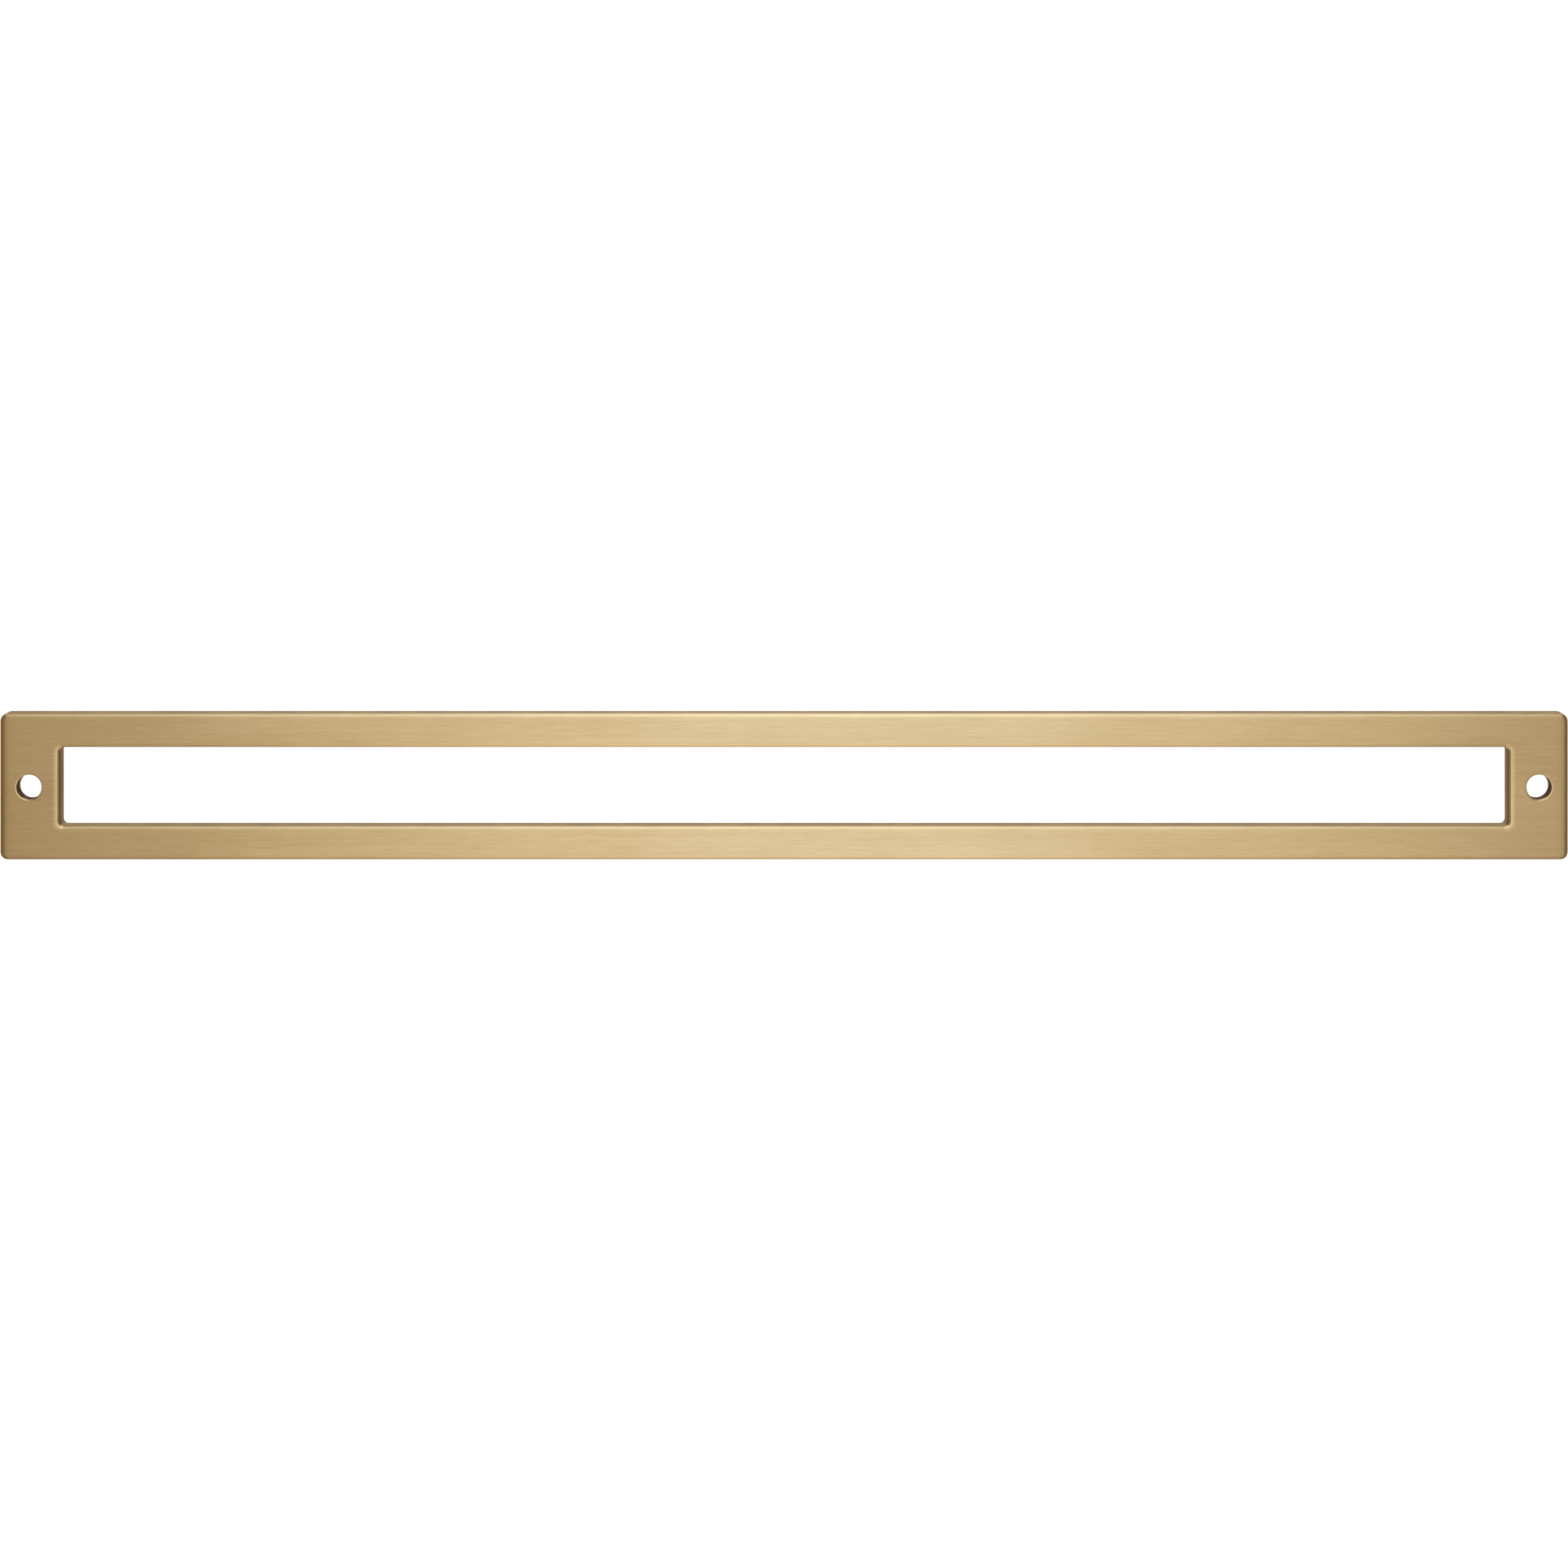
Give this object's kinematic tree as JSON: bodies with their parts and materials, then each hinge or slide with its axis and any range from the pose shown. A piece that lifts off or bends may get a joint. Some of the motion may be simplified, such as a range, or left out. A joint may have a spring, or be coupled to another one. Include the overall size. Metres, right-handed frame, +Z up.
{
  "type": "pull backplate",
  "caption": "Slim open-frame backplate that lies between a door or drawer front and the feet of a long bar pull, satin brass, with a hollow back.",
  "frame": {"origin": "middle of the back plane, the plane that lies on the door or drawer front, in the centre of the window", "axes": "+X along the plate from the left screw hole to the right one, +Z up across it, -Y out of the finished face and +Y into the door"},
  "size_m": [0.317, 0.0032, 0.0296],
  "materials": {
    "satin_brass": "satin brass plating and lacquer over a zinc alloy casting, brushed along the plate's length; window, hole and outer walls left darker"
  },
  "bodies": {
    "root": {"backplate": "satin_brass"}
  },
  "joints": []
}
